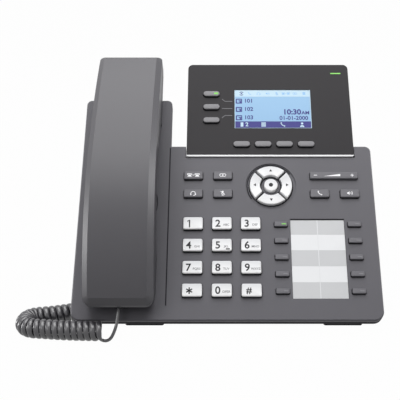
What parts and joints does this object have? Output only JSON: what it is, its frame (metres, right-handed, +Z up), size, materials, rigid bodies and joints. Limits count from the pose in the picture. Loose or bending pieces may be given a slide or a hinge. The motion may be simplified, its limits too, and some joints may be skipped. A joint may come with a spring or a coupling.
{
  "type": "desk ip phone",
  "caption": "Grey desk telephone on a tilted stand, with an arched handset in a side cradle, a raised screen, dial and memory keys and a curly cord.",
  "frame": {"origin": "on the table, under the middle of the phone without its cord", "axes": "+Z up, +X to the right of someone using the phone, +Y away from them"},
  "size_m": [0.2443, 0.163, 0.1601],
  "materials": {
    "grey_shell": "fine matte moulded grey",
    "dark_shell": "fine matte moulded dark grey",
    "handset_grey": "satin moulded grey",
    "handset_dark": "satin moulded dark grey",
    "white_trim": "glossy white",
    "black_lens": "satin black front plate",
    "display": "lit blue display",
    "paper": "printed card",
    "circuit_board": "green solder resist",
    "silicone": "soft silicone",
    "black_parts": "moulded black",
    "rubber": "soft black rubber",
    "cord_jacket": "satin grey cord jacket",
    "clear_plug": "smoky clear plastic",
    "grey_keys": "matte grey keys",
    "white_keys": "satin white keys",
    "pale_keys": "satin pale grey keys",
    "steel": "zinc plated"
  },
  "bodies": {
    "base": {"front_housing": "grey_shell", "rear_housing": "grey_shell", "housing_screws": "steel", "screen_frame": "white_trim", "screen_lens": "black_lens", "lcd_module": "display", "label_card": "paper", "main_board": "circuit_board", "keypad_mat": "silicone", "loudspeaker": "black_parts", "jack_block": "black_parts", "desk_stand": "dark_shell", "rubber_feet": "rubber", "handset_cord": "cord_jacket", "base_plug": "clear_plug"},
    "handset": {"handset_outer_shell": "handset_grey", "handset_inner_shell": "handset_dark", "handset_plug": "clear_plug"},
    "hook": {"hook_plunger": "handset_dark"},
    "volume": {"volume_rocker": "grey_keys"},
    "dial_key_1_body": {"dial_key_1": "white_keys"},
    "dial_key_2_body": {"dial_key_2": "white_keys"},
    "dial_key_3_body": {"dial_key_3": "white_keys"},
    "dial_key_4_body": {"dial_key_4": "white_keys"},
    "dial_key_5_body": {"dial_key_5": "white_keys"},
    "dial_key_6_body": {"dial_key_6": "white_keys"},
    "dial_key_7_body": {"dial_key_7": "white_keys"},
    "dial_key_8_body": {"dial_key_8": "white_keys"},
    "dial_key_9_body": {"dial_key_9": "white_keys"},
    "dial_key_star_body": {"dial_key_star": "white_keys"},
    "dial_key_0_body": {"dial_key_0": "white_keys"},
    "dial_key_hash_body": {"dial_key_hash": "white_keys"},
    "transfer_key_body": {"transfer_key": "grey_keys"},
    "message_key_body": {"message_key": "grey_keys"},
    "headset_key_body": {"headset_key": "grey_keys"},
    "mute_key_body": {"mute_key": "grey_keys"},
    "call_key_body": {"call_key": "grey_keys"},
    "speaker_key_body": {"speaker_key": "grey_keys"},
    "memory_key_left_1_body": {"memory_key_left_1": "grey_keys"},
    "memory_key_left_2_body": {"memory_key_left_2": "grey_keys"},
    "memory_key_left_3_body": {"memory_key_left_3": "grey_keys"},
    "memory_key_left_4_body": {"memory_key_left_4": "grey_keys"},
    "memory_key_left_5_body": {"memory_key_left_5": "grey_keys"},
    "memory_key_right_1_body": {"memory_key_right_1": "grey_keys"},
    "memory_key_right_2_body": {"memory_key_right_2": "grey_keys"},
    "memory_key_right_3_body": {"memory_key_right_3": "grey_keys"},
    "memory_key_right_4_body": {"memory_key_right_4": "grey_keys"},
    "memory_key_right_5_body": {"memory_key_right_5": "grey_keys"},
    "line_key_1_body": {"line_key_1": "pale_keys"},
    "line_key_2_body": {"line_key_2": "pale_keys"},
    "line_key_3_body": {"line_key_3": "pale_keys"},
    "soft_key_1_body": {"soft_key_1": "pale_keys"},
    "soft_key_2_body": {"soft_key_2": "pale_keys"},
    "soft_key_3_body": {"soft_key_3": "pale_keys"},
    "soft_key_4_body": {"soft_key_4": "pale_keys"},
    "nav_up_key_body": {"nav_up_key": "white_keys"},
    "nav_left_key_body": {"nav_left_key": "white_keys"},
    "nav_down_key_body": {"nav_down_key": "white_keys"},
    "nav_right_key_body": {"nav_right_key": "white_keys"},
    "ok_key_body": {"ok_key": "white_keys"}
  },
  "joints": [
    {"name": "volume_tip", "type": "hinge", "parent": "base", "child": "volume", "pos_m": [0.076, 0.00672, 0.08404], "axis": [0, 0.7071, 0.7071], "range_deg": [-3.5, 3.5], "stiffness_Nm_per_rad": 0.1},
    {"name": "handset_lift", "type": "slide", "parent": "base", "child": "handset", "axis": [0, -0.7071, 0.7071], "range_m": [0, 0.07], "deforming": ["handset_cord"]},
    {"name": "hook_rise", "type": "slide", "parent": "base", "child": "hook", "axis": [0, -0.7071, 0.7071], "range_m": [0, 0.003]},
    {"name": "dial_key_1_press", "type": "slide", "parent": "base", "child": "dial_key_1_body", "axis": [0, 0.7071, -0.7071], "range_m": [0, 0.0012], "stiffness_N_per_m": 400},
    {"name": "dial_key_2_press", "type": "slide", "parent": "base", "child": "dial_key_2_body", "axis": [0, 0.7071, -0.7071], "range_m": [0, 0.0012], "stiffness_N_per_m": 400},
    {"name": "dial_key_3_press", "type": "slide", "parent": "base", "child": "dial_key_3_body", "axis": [0, 0.7071, -0.7071], "range_m": [0, 0.0012], "stiffness_N_per_m": 400},
    {"name": "dial_key_4_press", "type": "slide", "parent": "base", "child": "dial_key_4_body", "axis": [0, 0.7071, -0.7071], "range_m": [0, 0.0012], "stiffness_N_per_m": 400},
    {"name": "dial_key_5_press", "type": "slide", "parent": "base", "child": "dial_key_5_body", "axis": [0, 0.7071, -0.7071], "range_m": [0, 0.0012], "stiffness_N_per_m": 400},
    {"name": "dial_key_6_press", "type": "slide", "parent": "base", "child": "dial_key_6_body", "axis": [0, 0.7071, -0.7071], "range_m": [0, 0.0012], "stiffness_N_per_m": 400},
    {"name": "dial_key_7_press", "type": "slide", "parent": "base", "child": "dial_key_7_body", "axis": [0, 0.7071, -0.7071], "range_m": [0, 0.0012], "stiffness_N_per_m": 400},
    {"name": "dial_key_8_press", "type": "slide", "parent": "base", "child": "dial_key_8_body", "axis": [0, 0.7071, -0.7071], "range_m": [0, 0.0012], "stiffness_N_per_m": 400},
    {"name": "dial_key_9_press", "type": "slide", "parent": "base", "child": "dial_key_9_body", "axis": [0, 0.7071, -0.7071], "range_m": [0, 0.0012], "stiffness_N_per_m": 400},
    {"name": "dial_key_star_press", "type": "slide", "parent": "base", "child": "dial_key_star_body", "axis": [0, 0.7071, -0.7071], "range_m": [0, 0.0012], "stiffness_N_per_m": 400},
    {"name": "dial_key_0_press", "type": "slide", "parent": "base", "child": "dial_key_0_body", "axis": [0, 0.7071, -0.7071], "range_m": [0, 0.0012], "stiffness_N_per_m": 400},
    {"name": "dial_key_hash_press", "type": "slide", "parent": "base", "child": "dial_key_hash_body", "axis": [0, 0.7071, -0.7071], "range_m": [0, 0.0012], "stiffness_N_per_m": 400},
    {"name": "transfer_key_press", "type": "slide", "parent": "base", "child": "transfer_key_body", "axis": [0, 0.7071, -0.7071], "range_m": [0, 0.0012], "stiffness_N_per_m": 400},
    {"name": "message_key_press", "type": "slide", "parent": "base", "child": "message_key_body", "axis": [0, 0.7071, -0.7071], "range_m": [0, 0.0012], "stiffness_N_per_m": 400},
    {"name": "headset_key_press", "type": "slide", "parent": "base", "child": "headset_key_body", "axis": [0, 0.7071, -0.7071], "range_m": [0, 0.0012], "stiffness_N_per_m": 400},
    {"name": "mute_key_press", "type": "slide", "parent": "base", "child": "mute_key_body", "axis": [0, 0.7071, -0.7071], "range_m": [0, 0.0012], "stiffness_N_per_m": 400},
    {"name": "call_key_press", "type": "slide", "parent": "base", "child": "call_key_body", "axis": [0, 0.7071, -0.7071], "range_m": [0, 0.0012], "stiffness_N_per_m": 400},
    {"name": "speaker_key_press", "type": "slide", "parent": "base", "child": "speaker_key_body", "axis": [0, 0.7071, -0.7071], "range_m": [0, 0.0012], "stiffness_N_per_m": 400},
    {"name": "memory_key_left_1_press", "type": "slide", "parent": "base", "child": "memory_key_left_1_body", "axis": [0, 0.7071, -0.7071], "range_m": [0, 0.0012], "stiffness_N_per_m": 400},
    {"name": "memory_key_left_2_press", "type": "slide", "parent": "base", "child": "memory_key_left_2_body", "axis": [0, 0.7071, -0.7071], "range_m": [0, 0.0012], "stiffness_N_per_m": 400},
    {"name": "memory_key_left_3_press", "type": "slide", "parent": "base", "child": "memory_key_left_3_body", "axis": [0, 0.7071, -0.7071], "range_m": [0, 0.0012], "stiffness_N_per_m": 400},
    {"name": "memory_key_left_4_press", "type": "slide", "parent": "base", "child": "memory_key_left_4_body", "axis": [0, 0.7071, -0.7071], "range_m": [0, 0.0012], "stiffness_N_per_m": 400},
    {"name": "memory_key_left_5_press", "type": "slide", "parent": "base", "child": "memory_key_left_5_body", "axis": [0, 0.7071, -0.7071], "range_m": [0, 0.0012], "stiffness_N_per_m": 400},
    {"name": "memory_key_right_1_press", "type": "slide", "parent": "base", "child": "memory_key_right_1_body", "axis": [0, 0.7071, -0.7071], "range_m": [0, 0.0012], "stiffness_N_per_m": 400},
    {"name": "memory_key_right_2_press", "type": "slide", "parent": "base", "child": "memory_key_right_2_body", "axis": [0, 0.7071, -0.7071], "range_m": [0, 0.0012], "stiffness_N_per_m": 400},
    {"name": "memory_key_right_3_press", "type": "slide", "parent": "base", "child": "memory_key_right_3_body", "axis": [0, 0.7071, -0.7071], "range_m": [0, 0.0012], "stiffness_N_per_m": 400},
    {"name": "memory_key_right_4_press", "type": "slide", "parent": "base", "child": "memory_key_right_4_body", "axis": [0, 0.7071, -0.7071], "range_m": [0, 0.0012], "stiffness_N_per_m": 400},
    {"name": "memory_key_right_5_press", "type": "slide", "parent": "base", "child": "memory_key_right_5_body", "axis": [0, 0.7071, -0.7071], "range_m": [0, 0.0012], "stiffness_N_per_m": 400},
    {"name": "line_key_1_press", "type": "slide", "parent": "base", "child": "line_key_1_body", "axis": [0, 0.7071, -0.7071], "range_m": [0, 0.0012], "stiffness_N_per_m": 400},
    {"name": "line_key_2_press", "type": "slide", "parent": "base", "child": "line_key_2_body", "axis": [0, 0.7071, -0.7071], "range_m": [0, 0.0012], "stiffness_N_per_m": 400},
    {"name": "line_key_3_press", "type": "slide", "parent": "base", "child": "line_key_3_body", "axis": [0, 0.7071, -0.7071], "range_m": [0, 0.0012], "stiffness_N_per_m": 400},
    {"name": "soft_key_1_press", "type": "slide", "parent": "base", "child": "soft_key_1_body", "axis": [0, 0.7071, -0.7071], "range_m": [0, 0.0012], "stiffness_N_per_m": 400},
    {"name": "soft_key_2_press", "type": "slide", "parent": "base", "child": "soft_key_2_body", "axis": [0, 0.7071, -0.7071], "range_m": [0, 0.0012], "stiffness_N_per_m": 400},
    {"name": "soft_key_3_press", "type": "slide", "parent": "base", "child": "soft_key_3_body", "axis": [0, 0.7071, -0.7071], "range_m": [0, 0.0012], "stiffness_N_per_m": 400},
    {"name": "soft_key_4_press", "type": "slide", "parent": "base", "child": "soft_key_4_body", "axis": [0, 0.7071, -0.7071], "range_m": [0, 0.0012], "stiffness_N_per_m": 400},
    {"name": "nav_up_key_press", "type": "slide", "parent": "base", "child": "nav_up_key_body", "axis": [0, 0.7071, -0.7071], "range_m": [0, 0.0012], "stiffness_N_per_m": 400},
    {"name": "nav_left_key_press", "type": "slide", "parent": "base", "child": "nav_left_key_body", "axis": [0, 0.7071, -0.7071], "range_m": [0, 0.0012], "stiffness_N_per_m": 400},
    {"name": "nav_down_key_press", "type": "slide", "parent": "base", "child": "nav_down_key_body", "axis": [0, 0.7071, -0.7071], "range_m": [0, 0.0012], "stiffness_N_per_m": 400},
    {"name": "nav_right_key_press", "type": "slide", "parent": "base", "child": "nav_right_key_body", "axis": [0, 0.7071, -0.7071], "range_m": [0, 0.0012], "stiffness_N_per_m": 400},
    {"name": "ok_key_press", "type": "slide", "parent": "base", "child": "ok_key_body", "axis": [0, 0.7071, -0.7071], "range_m": [0, 0.0012], "stiffness_N_per_m": 400}
  ],
  "couplings": [
    {"joint": "hook_rise", "follows": "handset_lift", "ratio": 0.042857}
  ]
}
